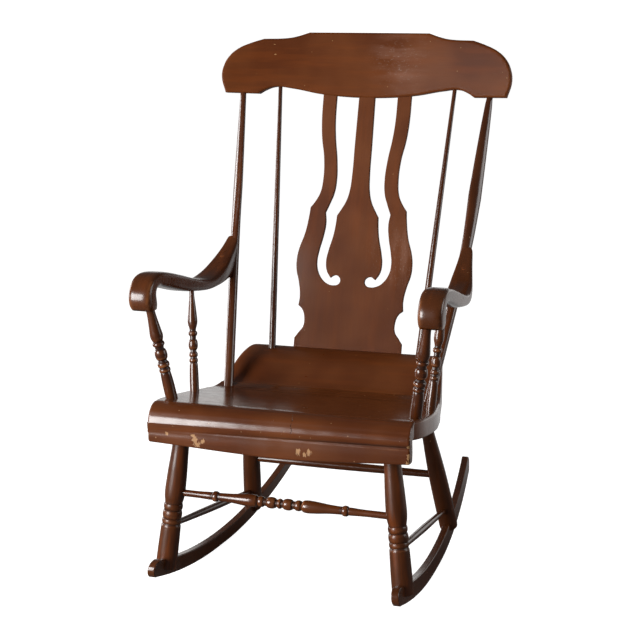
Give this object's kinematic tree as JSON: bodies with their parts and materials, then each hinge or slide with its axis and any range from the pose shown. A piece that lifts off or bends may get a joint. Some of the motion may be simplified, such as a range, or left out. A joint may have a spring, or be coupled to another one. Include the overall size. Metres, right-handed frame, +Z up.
{
  "type": "rocking chair",
  "caption": "Painted wooden rocking chair with a rolled seat, scrolled arms, turned spindles, a pierced lyre-shaped back splat and a shaped crest rail.",
  "frame": {"origin": "on the floor under the middle of the chair's bounding box", "axes": "+Z up; the chair faces -Y, so +X is the sitter's left and +Y runs back; the XZ plane's normal is Y and the chair mirrors across x = 0"},
  "size_m": [0.624, 0.751, 1.0434],
  "materials": {
    "crest_rail": "gloss brown paint, worn",
    "back_splat": "gloss brown paint, worn",
    "back_post_left": "gloss brown paint, worn",
    "back_post_right": "gloss brown paint, worn",
    "back_spindle_left": "gloss brown paint, worn",
    "back_spindle_right": "gloss brown paint, worn",
    "seat_plank": "gloss brown paint, worn",
    "seat_front_roll": "gloss brown paint, worn",
    "seat_back_rise": "gloss brown paint, worn",
    "arm_left": "gloss brown paint, worn",
    "arm_right": "gloss brown paint, worn",
    "arm_plug_left": "gloss brown paint, worn",
    "arm_plug_right": "gloss brown paint, worn",
    "arm_front_spindle_left": "gloss brown paint, worn",
    "arm_front_spindle_right": "gloss brown paint, worn",
    "arm_rear_spindle_left": "gloss brown paint, worn",
    "arm_rear_spindle_right": "gloss brown paint, worn",
    "front_leg_left": "gloss brown paint, worn",
    "front_leg_right": "gloss brown paint, worn",
    "rear_leg_left": "gloss brown paint, worn",
    "rear_leg_right": "gloss brown paint, worn",
    "runner_left": "gloss brown paint, worn",
    "runner_right": "gloss brown paint, worn",
    "front_stretcher": "gloss brown paint, worn",
    "back_stretcher": "gloss brown paint, worn",
    "side_stretcher_left": "gloss brown paint, worn",
    "side_stretcher_right": "gloss brown paint, worn"
  },
  "bodies": {
    "root": {"crest_rail": "crest_rail", "back_splat": "back_splat", "back_post_left": "back_post_left", "back_post_right": "back_post_right", "back_spindle_left": "back_spindle_left", "back_spindle_right": "back_spindle_right", "seat_plank": "seat_plank", "seat_front_roll": "seat_front_roll", "seat_back_rise": "seat_back_rise", "arm_left": "arm_left", "arm_right": "arm_right", "arm_plug_left": "arm_plug_left", "arm_plug_right": "arm_plug_right", "arm_front_spindle_left": "arm_front_spindle_left", "arm_front_spindle_right": "arm_front_spindle_right", "arm_rear_spindle_left": "arm_rear_spindle_left", "arm_rear_spindle_right": "arm_rear_spindle_right", "front_leg_left": "front_leg_left", "front_leg_right": "front_leg_right", "rear_leg_left": "rear_leg_left", "rear_leg_right": "rear_leg_right", "runner_left": "runner_left", "runner_right": "runner_right", "front_stretcher": "front_stretcher", "back_stretcher": "back_stretcher", "side_stretcher_left": "side_stretcher_left", "side_stretcher_right": "side_stretcher_right"}
  },
  "joints": []
}
